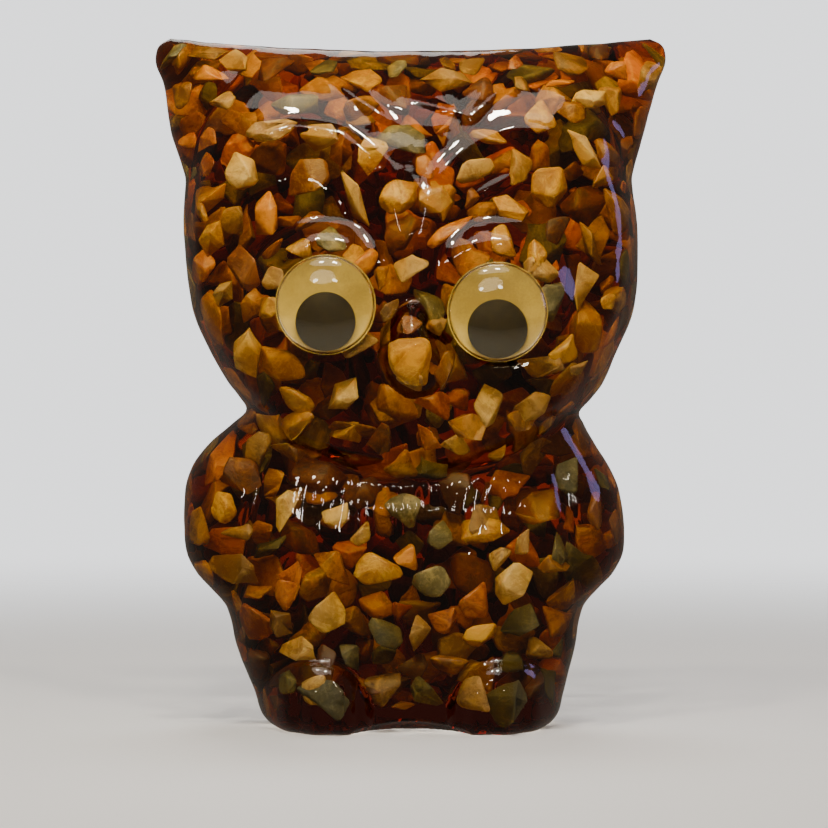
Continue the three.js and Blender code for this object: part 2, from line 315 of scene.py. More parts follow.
@dataclass(frozen=True)
class StoneChip:
    """A crushed, tumbled mineral chip, wet-looking in the resin.

    Its mottle is broad and cloudy with a few faint veins, and a finer grain dulls its gloss. A
    little light goes through its edges, which makes it glow. No two chips have the same tone.
    """

    name: str
    light: str
    middle: str
    dark: str
    roughness: float
    share: float
    casts_shadow: bool = False
    ior: float = 1.54
    mottle_mm: float = 5.0
    mottle_weight: float = 1.7
    grain_mm: float = 0.7
    grain_weight: float = 0.30
    grain_depth_mm: float = 0.3
    vein_mm: float = 4.0
    vein_width: float = 0.028  # as a share of the noise's range
    vein_weight: float = 0.10
    glow: float = 0.3
    glow_reach: Rgb = (1.0, 0.45, 0.12)
    glow_mm: float = 2.2
    places: tuple[float, float, float] = (0.58, 0.75, 0.93)  # of the dark, middle and light tones

    def build(self) -> bpy.types.Material:
        """Return the stone: a mottle, veins, a finer grain, and a tone of its own for each chip."""
        tree = Tree(self.name)
        where = tree.add("ShaderNodeTexCoord").outputs["Object"]
        mottle = tree.add(
            "ShaderNodeTexNoise",
            {"Vector": where, "Scale": 1 / (self.mottle_mm * MM), "Detail": 6.0, "Roughness": 0.68,
             "Distortion": 0.8},
        )
        grain = tree.add(
            "ShaderNodeTexNoise", {"Vector": where, "Scale": 1 / (self.grain_mm * MM), "Detail": 4.0}
        )
        veins = tree.add(
            "ShaderNodeTexNoise",
            {"Vector": where, "Scale": 1 / (self.vein_mm * MM), "Detail": 2.0, "Distortion": 2.2},
        )
        ridge = tree.add(
            "ShaderNodeMath", {0: veins.outputs["Fac"], 1: 0.5, 2: self.vein_width}, operation="COMPARE"
        )
        tone = tree.add("ShaderNodeAttribute", attribute_name=TONE)
        tones = tone.outputs["Fac"]
        for layer, weight in (
            (mottle.outputs["Fac"], self.mottle_weight), (ridge.outputs[0], self.vein_weight),
            (grain.outputs["Fac"], self.grain_weight),
        ):
            tones = tree.add(
                "ShaderNodeMath", {0: layer, 1: weight, 2: tones}, operation="MULTIPLY_ADD"
            ).outputs[0]
        halved = tree.add("ShaderNodeMath", {0: tones, 1: 0.5}, operation="MULTIPLY")
        ramp = tree.add(
            "ShaderNodeValToRGB", {"Fac": halved.outputs[0]},
            tuple(zip(self.places, (self.dark, self.middle, self.light))),
        )
        ramp.color_ramp.interpolation = "EASE"
        bump = tree.add(
            "ShaderNodeBump", {"Height": tones, "Distance": self.grain_depth_mm * MM, "Strength": 0.8}
        )
        tree.set(
            Base_Color=ramp.outputs["Color"], Roughness=self.roughness, IOR=self.ior,
            Normal=bump.outputs["Normal"], Subsurface_Weight=self.glow,
            Subsurface_Radius=self.glow_reach, Subsurface_Scale=self.glow_mm * MM,
        )
        return tree.material


@dataclass(frozen=True)
class YellowedStyrene:
    """White polystyrene, moulded smooth, and yellowed unevenly by decades of light.

    It looks like old ivory: a soft sheen, broad darker patches and a faint speckle of dust.
    """

    name: str = "yellowed_styrene"
    fresh: str = "#AE953A"
    aged: str = "#8A7222"
    roughness: float = 0.38
    ior: float = 1.59
    patch_mm: float = 9.0
    dust_mm: float = 0.45
    dust_weight: float = 0.25

    def build(self) -> bpy.types.Material:
        """Return the backing's plastic, with broad uneven yellowing and a faint dust speckle."""
        tree = Tree(self.name)
        where = tree.add("ShaderNodeTexCoord").outputs["Object"]
        broad = tree.add(
            "ShaderNodeTexNoise", {"Vector": where, "Scale": 1 / (self.patch_mm * MM), "Detail": 3.0}
        )
        dust = tree.add(
            "ShaderNodeTexNoise", {"Vector": where, "Scale": 1 / (self.dust_mm * MM), "Detail": 2.0}
        )
        both = tree.add(
            "ShaderNodeMath",
            {0: dust.outputs["Fac"], 1: self.dust_weight, 2: broad.outputs["Fac"]},
            operation="MULTIPLY_ADD",
        )
        ramp = tree.add(
            "ShaderNodeValToRGB", {"Fac": both.outputs[0]}, ((0.45, self.aged), (0.80, self.fresh))
        )
        tree.set(Base_Color=ramp.outputs["Color"], Roughness=self.roughness, IOR=self.ior)
        return tree.material


@dataclass(frozen=True)
class ClearAcetate:
    """Clear acetate sheet, drawn into a thin dome: a hard gloss with a faint straw tint.

    The drawing leaves it slightly wavy, which bends the lamps' reflections.
    """

    name: str = "clear_acetate"
    tint: str = "#FFF9E4"
    ior: float = 1.48
    roughness: float = 0.0
    wave_mm: float = 4.0
    wave_depth_mm: float = 0.02

    def build(self) -> bpy.types.Material:
        """Return the clear dome's plastic."""
        tree = Tree(self.name)
        where = tree.add("ShaderNodeTexCoord").outputs["Object"]
        wave = tree.add(
            "ShaderNodeTexNoise", {"Vector": where, "Scale": 1 / (self.wave_mm * MM), "Detail": 1.0}
        )
        bump = tree.add(
            "ShaderNodeBump",
            {"Height": wave.outputs["Fac"], "Distance": self.wave_depth_mm * MM, "Strength": 0.6},
        )
        tree.set(
            Base_Color=linear(self.tint), Roughness=self.roughness, IOR=self.ior,
            Transmission_Weight=1.0, Normal=bump.outputs["Normal"],
        )
        return tree.material


@dataclass(frozen=True)
class BlackStyrene:
    """Black polystyrene punched from sheet, scuffed dull where it rubs inside its capsule.

    It is a warm, flat black with hardly any sheen.
    """

    name: str = "black_styrene"
    colour: str = "#1A1506"
    worn: str = "#2A2109"
    roughness: float = 0.42
    ior: float = 1.59
    sheen: float = 0.07
    scuff_mm: float = 1.6

    def build(self) -> bpy.types.Material:
        """Return the pupil's plastic, with fine rubbed scuffs."""
        tree = Tree(self.name)
        where = tree.add("ShaderNodeTexCoord").outputs["Object"]
        scuff = tree.add(
            "ShaderNodeTexNoise",
            {"Vector": where, "Scale": 1 / (self.scuff_mm * MM), "Detail": 6.0, "Roughness": 0.7},
        )
        ramp = tree.add(
            "ShaderNodeValToRGB", {"Fac": scuff.outputs["Fac"]},
            ((0.42, self.colour), (0.78, self.worn)),
        )
        tree.set(
            Base_Color=ramp.outputs["Color"], Roughness=self.roughness, IOR=self.ior,
            Specular_IOR_Level=self.sheen,
        )
        return tree.material


@dataclass(frozen=True)
class DriedGlue:
    """Clear craft cement, dried to a yellow-brown gloss with trapped bubbles."""

    name: str = "dried_cement"
    colour: str = "#A98A50"
    bubble: str = "#D8C48C"
    roughness: float = 0.28
    ior: float = 1.5
    bubble_mm: float = 1.1

    def build(self) -> bpy.types.Material:
        """Return the adhesive's finish."""
        tree = Tree(self.name)
        where = tree.add("ShaderNodeTexCoord").outputs["Object"]
        bubbles = tree.add(
            "ShaderNodeTexVoronoi", {"Vector": where, "Scale": 1 / (self.bubble_mm * MM)}
        )
        ramp = tree.add(
            "ShaderNodeValToRGB", {"Fac": bubbles.outputs["Distance"]},
            ((0.10, self.bubble), (0.32, self.colour)),
        )
        tree.set(Base_Color=ramp.outputs["Color"], Roughness=self.roughness, IOR=self.ior)
        return tree.material


class Stone(Enum):
    """The kinds of stone in the casting, by the record's names for them."""

    HONEY = StoneChip("honey_quartz_chip", "#BC9324", "#95690D", "#693F03", 0.40, 0.26)
    TAN = StoneChip("tan_chert_chip", "#AD8E52", "#896935", "#5D421D", 0.50, 0.14, True)
    CREAM = StoneChip("cream_calcite_chip", "#C8AD6F", "#A2854B", "#6F5224", 0.45, 0.06)
    GREY = StoneChip("grey_green_chert_chip", "#867D57", "#524E34", "#302F1F", 0.55, 0.18, True)
    RUST = StoneChip("rust_jasper_chip", "#7E4B0D", "#5D2F03", "#3C1B02", 0.50, 0.24)
    ORANGE = StoneChip("orange_carnelian_chip", "#BF800D", "#9E5D03", "#733702", 0.36, 0.12)

    @property
    def slot(self) -> str:
        """The record's material slot of this stone."""
        return f"{self.name.lower()}_stone"


# ---------------------------------------------------------------- the casting's skin


class Side(Enum):
    """The two halves of the mould."""

    FRONT = "front"
    BACK = "back"


@dataclass(frozen=True)
class Bump:
    """A raised dome on the front skin, elliptical as seen from the front."""

    x: float
    z: float
    half_width: float
    half_height: float
    rise: float
    power: float = 0.6

    def over(self, x: Array, z: Array) -> Array:
        """Return how far the skin rises at each point."""
        q = ((x - self.x) / self.half_width) ** 2 + ((z - self.z) / self.half_height) ** 2
        return self.rise * np.clip(1 - q, 0, None) ** self.power


@dataclass(frozen=True)
class Ridge:
    """A narrow raised line on the front skin, from one point to another."""

    start: tuple[float, float]
    end: tuple[float, float]
    width: float
    rise: float

    def over(self, x: Array, z: Array) -> Array:
        """Find how far the skin rises at each point.

        Args:
            x: Places across the owl.
            z: Places up the owl.

        Returns:
            The rise, which tapers towards both ends of the line.
        """
        (ax, az), (bx, bz) = self.start, self.end
        run = np.array([bx - ax, bz - az])
        along = np.clip(((x - ax) * run[0] + (z - az) * run[1]) / (run @ run), 0, 1)
        away = np.hypot(x - ax - along * run[0], z - az - along * run[1])
        taper = np.sin(np.pi * np.clip(along, 0.04, 0.96)) ** 0.5
        return self.rise * taper * np.exp(-((away / self.width) ** 2))


@dataclass(frozen=True)
class Zone:
    """A patch of the front skin, the same on both sides, that fades in and out at its edges."""

    bottom: tuple[float, float]
    top: tuple[float, float]
    sides: tuple[float, float]

    def over(self, side: Array, z: Array) -> Array:
        """Return how fully each point lies in the patch, from 0 to 1."""
        between = smoothstep(z, *self.bottom) * (1 - smoothstep(z, *self.top))
        return between * (1 - smoothstep(side, *self.sides))


@dataclass
class ResinCasting:
    """The owl's cast body: two skins that meet at the parting line, on a flat base.

    The outline and the depths are curves through heights and widths, in millimetres. Lines
    across the skin run with u from -1 to 1, and lines up it with v from 0 to 1.
    """

    height: float = 144.4
    top_sag: float = 2.6
    top_round_from: float = 0.9
    rows: int = 236
    columns: int = 168
    base_rows: int = 40
    top_crowding: float = 0.55
    base_crowding: float = 1.12
    side_crowding: float = 0.75
    lift_to: float = 0.1  # how far up the outline the arch of the underside moves the rows
    head_radius: float = 47.0
    head_z: float = 101.5
    head_blend: float = 3.0
    disc_x: float = 23.5
    disc_z: float = 100.0
    disc_half: tuple[float, float] = (21.5, 24.5)
    disc_sink: float = 3.0
    disc_slope_from: float = 0.55
    disc_ridge: float = 0.8
    disc_ridge_width: float = 0.08
    boss_x: float = 17.4
    boss_z: float = 89.0
    boss_radii: tuple[float, float] = (11.6, 18.0)
    boss_depth: float = 27.8
    groove_top: tuple[float, float] = (29.5, 60.7)
    groove_lean: float = 0.194
    groove_depth: float = 1.8
    groove_width: float = 2.0
    neck: tuple[float, float] = (52, 62)
    front_round: float = 5.0
    back_round: float = 3.2
    arch: tuple[float, float, float, float] = (13.5, 20.0, 4.2, -24.0)  # half sizes, rise, middle
    base_round: tuple[float, float] = (4.0, 2.0)
    waviness: float = 0.14
    wave_lengths: tuple[float, float] = (7.0, 3.2)
    wave_fade: tuple[float, float] = (1.5, 5.5)  # heights that it starts at and is full from
    beak: Bump = Bump(1.2, 79, 7.4, 10, 6.5)
    foot: Bump = Bump(19.6, 3.5, 12, 12, 6.5)
    breast: Zone = Zone((40, 45), (50, 54), (20, 26))
    feather_pitch: float = 3.3
    feather_rise: float = 0.20
    belly: Zone = Zone((14, 22), (34, 40), (24, 30))
    fold_pitch: float = 6.2
    fold_rise: float = 0.16
    toe_sides: tuple[float, float] = (7.5, 11)
    toe_top: tuple[float, float] = (9, 13)
    toe_pitch: float = 6.4
    toe_rise: float = 0.55
    half_width: Pairs = (
        (0, 28.4), (1, 30), (3, 31.5), (7, 32.6), (11, 33.9), (17, 35.8), (22, 36.7), (25.5, 37.9),
        (29, 41), (32, 43.8), (36, 45.9), (41, 46.4), (47, 46.1), (51, 45.4), (55, 43.6),
        (59.5, 40.4), (63.5, 37), (66, 35.2), (69, 37.2), (72, 39.4), (78, 42.5), (85, 45.7),
        (91, 47.1), (98, 47.6), (105, 47.8), (112, 47.2), (115, 47), (118, 47.7), (124, 49.6),
        (129, 50.6), (135, 52), (139, 53.6), (142, 53.4), (143.4, 52.4), (144.4, 50.4),
    )
    lean: Pairs = (
        (0, 0), (7, -0.3), (17, -1), (36, -1.2), (47, -1.6), (55, -2.1), (60, -1.6), (64, -0.4),
        (68, 1.1), (78, 0.7), (91, 0.5), (105, 0), (124, -0.6), (135, 0), (144.4, 0),
    )
    ground_depth: Pairs = (
        (0, 21), (15, 23), (30, 24.5), (45, 22.5), (54, 20.5), (66, 20), (90, 20), (110, 18.5),
        (125, 16.5), (135, 15), (144.4, 13),
    )
    head_depth: Pairs = (
        (50, 24), (56, 25.5), (64, 27.5), (76, 28.5), (95, 28), (110, 26), (125, 21.5), (135, 17),
        (144.4, 13),
    )
    back_depth: Pairs = (
        (0, 20), (20, 22.5), (38, 22), (56, 18), (66, 17.3), (80, 20.5), (100, 22.5), (118, 20),
        (133, 15.5), (144.4, 12),
    )
    ridges: tuple = (
        Ridge((-19, 137.5), (-4.5, 126), 1.0, 0.9), Ridge((-14, 138.5), (-3, 129), 0.8, 0.6),
        Ridge((24.9, 139), (12.2, 127), 1.0, 0.9), Ridge((21, 140), (10, 129.5), 0.8, 0.6),
        Ridge((-1, 131), (13, 127), 0.7, 0.5),
        Ridge((-33.4, 121.6), (-24.9, 125.2), 1.1, 0.7), Ridge((-24.9, 125.2), (-14, 124), 1.1, 0.8),
        Ridge((-14, 124), (-3.7, 115.3), 1.0, 0.9), Ridge((4, 110), (11.2, 109.6), 1.0, 0.6),
        Ridge((11.2, 109.6), (22, 115.3), 1.0, 0.8), Ridge((22, 115.3), (31, 113.5), 1.0, 0.6),
        Ridge((0, 115), (4.5, 108.5), 0.9, 0.7),
    )
    coarse: int = 3  # the fine grid's steps in one step of the shell that the chips lie in
    parting_y: float = 0.0

    def front_detail(self, x: Array, z: Array) -> Array:
        """Find the fine relief of the front skin: ridges, breast feathers, belly folds and toes.

        Args:
            x: Places across the owl.
            z: Places up the owl.

        Returns:
            The height of the relief at each place.
        """
        side = np.abs(x)
        relief = sum(ridge.over(x, z) for ridge in self.ridges)
        feathers = np.cos(math.tau * (x + np.sin(x / 5 + z / 7)) / self.feather_pitch)
        relief = relief + self.feather_rise * self.breast.over(side, z) * feathers
        folds = np.cos(math.tau * (x + 1.5 * np.sin(z / 4)) / self.fold_pitch)
        relief += self.fold_rise * self.belly.over(side, z) * folds
        on_foot = 1 - smoothstep(np.abs(side - self.foot.x), *self.toe_sides)
        on_foot = on_foot * (1 - smoothstep(z, *self.toe_top))
        relief += self.toe_rise * on_foot * np.cos(math.tau * (side - self.foot.x) / self.toe_pitch)
        return relief

    def front(self, x: Array, z: Array, u: Array, v: Array) -> Array:
        """Find the front skin's depth ahead of the parting plane.

        Args:
            x: Places across the owl.
            z: Places up the owl.
            u: The same places across the outline, from -1 to 1.
            v: The same places up the outline, from 0 to 1.

        Returns:
            The depth at each place.
        """
        side = np.abs(x)
        from_head = np.hypot(x, z - self.head_z)
        edge = (self.head_radius - self.head_blend, self.head_radius + self.head_blend)
        on_head = 1 - smoothstep(from_head, *edge)
        depth = curve_through(self.ground_depth, z)
        depth = depth + (curve_through(self.head_depth, z) - depth) * on_head
        half_w, half_h = self.disc_half
        disc = np.hypot((side - self.disc_x) / half_w, (z - self.disc_z) / half_h)
        depth -= self.disc_sink * (1 - smoothstep(disc, self.disc_slope_from, 1))
        depth += self.disc_ridge * np.exp(-(((disc - 1) / self.disc_ridge_width) ** 2))
        groove = self.groove_top[0] + (self.groove_top[1] - z) * self.groove_lean
        below_neck = 1 - smoothstep(z, *self.neck)
        off_groove = (side - groove) / self.groove_width
        depth -= below_neck * self.groove_depth * np.exp(-(off_groove**2))
        depth += self.beak.over(x, z) + self.foot.over(side, z)
        depth += self.front_detail(x, z)
        depth *= self.side_round(u, self.front_round) * self.top_round(v)
        flat, foot = self.boss_radii
        off_boss = smoothstep(np.hypot(side - self.boss_x, z - self.boss_z), flat, foot)
        return self.boss_depth + (depth - self.boss_depth) * off_boss

    def back(self, z: Array, u: Array, v: Array) -> Array:
        """Return the back skin's depth behind the parting plane."""
        return curve_through(self.back_depth, z) * self.side_round(u, self.back_round) * self.top_round(v)

    def side_round(self, u: Array, power: float) -> Array:
        """Round a skin off to the parting line at both sides."""
        return np.sqrt(np.clip(1 - np.abs(u) ** power, 0, None))

    def top_round(self, v: Array) -> Array:
        """Round a skin off to the parting line at the top."""
        over = np.clip((v - self.top_round_from) / (1 - self.top_round_from), 0, 1)
        return np.sqrt(1 - over**2)

    def foot_round(self, z: Array, side: Side) -> Array:
        """Find how far a skin draws in over the rounded edge above the base.

        Args:
            z: Places up the owl.
            side: Which half of the mould.

        Returns:
            The distance that the skin draws in.
        """
        r = self.base_round[0 if side is Side.FRONT else 1]
        up = np.clip(r - z, 0, r)
        return r - np.sqrt(r * r - up * up)

    def arch_over(self, x: Array, y: Array) -> Array:
        """Find the height of the underside, which is arched between the toes.

        Args:
            x: Places across the owl.
            y: The same places from front to back.

        Returns:
            The height at each place.
        """
        half_w, half_d, rise, middle = self.arch
        q = (x / half_w) ** 2 + ((y - middle) / half_d) ** 2
        return rise * np.clip(1 - q, 0, None) ** 0.7

    def skin(self, u: Array, v: Array, side: Side) -> Array:
        """Place points of a skin.

        Args:
            u: Places across the outline, from -1 to 1.
            v: Places up the outline, from 0 to 1.
            side: Which half of the mould.

        Returns:
            One x, y, z for each place, in millimetres.
        """
        up = v * self.height
        x = curve_through(self.lean, up) + u * curve_through(self.half_width, up)
        z = v * (self.height - self.top_sag * (1 - u * u))
        if side is Side.FRONT:
            depth = self.front(x, z, u, v)
        else:
            depth = self.back(z, u, v)
        drawn_in = self.foot_round(z, side) * self.side_round(u, 2)
        depth = np.maximum(depth - drawn_in, 0)
        y = self.parting_y + (-depth if side is Side.FRONT else depth)
        return np.stack([x, y, z], axis=-1)

    def grid(self, side: Side) -> Array:
        """Lay one skin out as a grid of points, with its rows closer near the top and base.

        Args:
            side: Which half of the mould.

        Returns:
            The points, with rows up the owl and columns across it.
        """
        rise = np.linspace(0, 1, self.rows + 1)
        v = rise + self.top_crowding * (np.sin(np.pi / 2 * rise) - rise)
        v = v**self.base_crowding
        across = np.linspace(-1, 1, self.columns + 1)
        u = np.sin(np.pi / 2 * across) * self.side_crowding + across * (1 - self.side_crowding)
        uu, vv = np.meshgrid(u, v)
        if side is Side.FRONT:
            foot_edge = self.skin(u, np.zeros_like(u), side)
            lift = self.arch_over(foot_edge[:, 0], foot_edge[:, 1]) / self.height
            vv = vv + lift[None, :] * np.clip(1 - vv / self.lift_to, 0, 1)
        return self.skin(uu, vv, side)

    def shell(self, name: str) -> bpy.types.Object:
        """Make the closed mesh of both skins and the base, as fine as rows and columns say.

        Args:
            name: The object's name.

        Returns:
            The shell.
        """
        front, back = self.grid(Side.FRONT), self.grid(Side.BACK)
        rows, stride = self.rows, self.columns + 1
        points = [*front.reshape(-1, 3)]
        front_at = np.arange((rows + 1) * stride).reshape(rows + 1, stride)
        back_at = front_at.copy()
        inner = np.zeros_like(front_at, bool)
        inner[:-1, 1:-1] = True
        back_at[inner] = len(points) + np.arange(inner.sum())
        points += [*back[inner]]
        faces = []
        for grid, order in ((front_at, (0, 1, 2, 3)), (back_at, (0, 3, 2, 1))):
            corners = np.stack([grid[:-1, :-1], grid[:-1, 1:], grid[1:, 1:], grid[1:, :-1]], axis=-1)
            faces += corners[..., order].reshape(-1, 4).tolist()
        faces += self.base_faces(front_at[0].tolist(), back_at[0].tolist(), points)
        made = mesh_object(name, np.array(points), faces)
        face_outwards(made)
        return made

    def build(self) -> bpy.types.Object:
        """Find the parting plane from the frame, and make the casting's fine mesh."""
        cad_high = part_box("resin_body")[1]
        self.parting_y = 0.0
        self.parting_y = cad_high.y / MM - self.grid(Side.BACK)[..., 1].max()
        casting = self.shell("resin_body_casting")
        self.add_waviness(casting)
        return casting

    def base_faces(self, front_row: list[int], back_row: list[int], points: list) -> list:
        """Close the underside with a grid between the two skins' lowest rows.

        Args:
            front_row: Vertex numbers of the front skin's lowest row.
            back_row: Vertex numbers of the back skin's lowest row.
            points: The mesh's points so far, which this adds to.

        Returns:
            The underside's faces.
        """
        steps = self.base_rows
        columns = []
        for front_index, back_index in zip(front_row, back_row):
            near, far = points[front_index], points[back_index]
            column = [front_index]
            if front_index != back_index:
                for i in range(1, steps):
                    x, y, _ = near + (far - near) * (i / steps)
                    column.append(len(points))
                    height = self.arch_over(np.array(x), np.array(y))
                    points.append(np.array([x, y, float(height)]))
            else:
                column += [front_index] * (steps - 1)
            columns.append([*column, back_index])
        faces = []
        for left, right in zip(columns, columns[1:]):
            faces += bridge(left, right)
        return faces

    def add_waviness(self, casting: bpy.types.Object) -> None:
        """Give the skin the slight unevenness of a hand-made mould, except on the base.

        Args:
            casting: The casting's mesh, which is changed.
        """
        mesh = casting.data
        points = np.empty(len(mesh.vertices) * 3)
        normals = np.empty(len(mesh.vertices) * 3)
        mesh.vertices.foreach_get("co", points)
        mesh.vertices.foreach_get("normal", normals)
        points, normals = points.reshape(-1, 3), normals.reshape(-1, 3)
        broad, fine = self.wave_lengths
        wave = np.array([
            noise.noise(Vector(p) / (broad * MM)) + 0.5 * noise.noise(Vector(p) / (fine * MM))
            for p in points
        ])
        flat_to, full_from = self.wave_fade
        wave *= np.clip((points[:, 2] / MM - flat_to) / (full_from - flat_to), 0, 1)
        points += normals * (wave * self.waviness * MM)[:, None]
        mesh.vertices.foreach_set("co", points.ravel())
        mesh.update()

    def dress(self, casting: bpy.types.Object) -> None:
        """Give the casting its resin, and let the lamps' light through to the chips.

        Args:
            casting: The casting's mesh object.
        """
        casting.data.materials.append(CastResin().build())
        casting.visible_shadow = False
        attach(casting, "owl")
        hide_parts("resin_body")


# ---------------------------------------------------------------- the stone chips


class SkinSearch:
    """A coarser copy of the skin, for finding places on it and depths under it quickly."""

    def __init__(self, casting: ResinCasting) -> None:
        """Take the triangles of a coarser shell, in millimetres, and drop its object.

        Args:
            casting: The casting whose skin it is.
        """
        step = casting.coarse
        coarse = replace(
            casting, rows=casting.rows // step, columns=casting.columns // step,
            base_rows=casting.base_rows // step,
        )
        shell = coarse.shell("packing_shell")
        shell.data.calc_loop_triangles()
        points = np.array([v.co[:] for v in shell.data.vertices]) / MM
        triangles = np.array([t.vertices[:] for t in shell.data.loop_triangles])
        bpy.data.objects.remove(shell)
        self.corners = points[triangles]
        cross = np.cross(
            self.corners[:, 1] - self.corners[:, 0], self.corners[:, 2] - self.corners[:, 0]
        )
        area = np.linalg.norm(cross, axis=1)
        self.outward = cross / np.maximum(area, np.finfo(float).tiny)[:, None]
        self.share = area / area.sum()
        self.tree = BVHTree.FromPolygons(points.tolist(), triangles.tolist())

    def scatter(self, rng: np.random.Generator, count: int) -> tuple[Array, Array]:
        """Pick places spread evenly over the skin.

        Args:
            rng: The repeatable random numbers.
            count: How many places.

        Returns:
            Points on the skin, and the outward direction at each.
        """
        picks = rng.choice(len(self.share), count, p=self.share)
        a, b = rng.random((2, count, 1))
        over = a + b > 1
        a, b = np.where(over, 1 - a, a), np.where(over, 1 - b, b)
        c = self.corners[picks]
        return c[:, 0] + a * (c[:, 1] - c[:, 0]) + b * (c[:, 2] - c[:, 0]), self.outward[picks]

    def nearest(self, point: Array, within: float = FAR_MM) -> tuple[Array, Array, float] | None:
        """Find the nearest place on the skin.

        Args:
            point: Where to look from.
            within: How far to look.

        Returns:
            The place, the outward direction there and the point's depth under it, or None.
        """
        place, normal, _, _ = self.tree.find_nearest(Vector(point), within)
        if place is None:
            return None
        return np.array(place), np.array(normal), (place - Vector(point)).dot(normal)


@dataclass
class Chip:
    """One stone: where it lies, how it is turned and how large it is, in millimetres."""

    centre: Array
    outward: Array
    along: Array
    half: tuple[float, float, float]
    stone: Stone
    tone: float
    shape: int


@dataclass(frozen=True)
class SeenChip:
    """A chip whose place on the front is listed, in millimetres and degrees."""

    stone: Stone
    x: float
    z: float
    width: float
    height: float
    turn: float = 0.0
    tone: float = 0.6
    thickness: float = 0.0  # as other chips of its size when nought


SEEN_CHIPS = (
    SeenChip(Stone.HONEY, 0.2, 78.2, 10.5, 13.5, 14, 0.6, 7.0),
    SeenChip(Stone.TAN, -26.7, 121.6, 12, 4.5, 8, 0.6),
    SeenChip(Stone.HONEY, -11.5, 118.8, 8, 9, 30, 0.7),
    SeenChip(Stone.HONEY, 4.8, 111.7, 7, 6.4, 0, 0.6),
    SeenChip(Stone.HONEY, 21.8, 118.8, 10.6, 4, -6, 0.6),
    SeenChip(Stone.HONEY, -24.2, 101.8, 6.4, 4.6, 0, 0.6),
    SeenChip(Stone.HONEY, 26.7, 101.1, 4.6, 8.5, 10, 0.6),
    SeenChip(Stone.TAN, 38, 102.5, 7.8, 4.6, -30, 0.6),
    SeenChip(Stone.TAN, 28.9, 75.3, 10, 4.2, 0, 0.38),
    SeenChip(Stone.HONEY, -37.6, 87, 4.5, 4.5, 0, 0.6),
    SeenChip(Stone.GREY, 37.3, 88.4, 7, 7.8, 0, 0.45),
    SeenChip(Stone.RUST, 4.6, 94.0, 9, 5.5, -8, 0.65),
    SeenChip(Stone.TAN, -1.5, 62.9, 7.5, 4.5, 0, 0.48),
    SeenChip(Stone.HONEY, 12.3, 57.9, 10, 7.5, 0, 0.43),
    SeenChip(Stone.CREAM, 10.4, 52.9, 9.5, 4.2, 0, 0.38),
    SeenChip(Stone.TAN, 19.2, 47.3, 9, 7.5, 20, 0.33),
    SeenChip(Stone.ORANGE, -2.1, 40.4, 6, 6, 0, 0.73),
    SeenChip(Stone.CREAM, 21.1, 38.5, 4.5, 5.5, 0, 0.38),
    SeenChip(Stone.GREY, -4.6, 17.2, 7.5, 9, 0, 0.35),
    SeenChip(Stone.TAN, 6, 12.8, 11, 8, 15, 0.38),
    SeenChip(Stone.CREAM, -25.2, 18.4, 6, 7, 0, 0.43),
    SeenChip(Stone.HONEY, -38.5, 52.9, 8, 9, 0, 0.38),
    SeenChip(Stone.HONEY, 35.5, 55.4, 8, 8, 0, 0.33),
    SeenChip(Stone.GREY, 41.8, 43.5, 5, 7, 0, 0.38),
    SeenChip(Stone.ORANGE, 5, 22.5, 7, 5.6, 0, 0.38),
    SeenChip(Stone.ORANGE, -25.3, 34, 5, 12, 8, 0.38),
    SeenChip(Stone.ORANGE, -28.5, 28.5, 5, 9, 0, 0.43),
    SeenChip(Stone.HONEY, 39.9, 33.5, 7.5, 4.2, 0, 0.33),
    SeenChip(Stone.GREY, -17.6, 8.6, 12.5, 8, 0, 0.1),
    SeenChip(Stone.GREY, 18.4, 8.8, 13, 8.5, 10, 0.1),
)


@dataclass(frozen=True)
class Layer:
    """A layer of chips at one depth under the skin, in millimetres."""

    depth: float
    depth_spread: float
    half_length: tuple[float, float]
    spacing: float
    tries: int


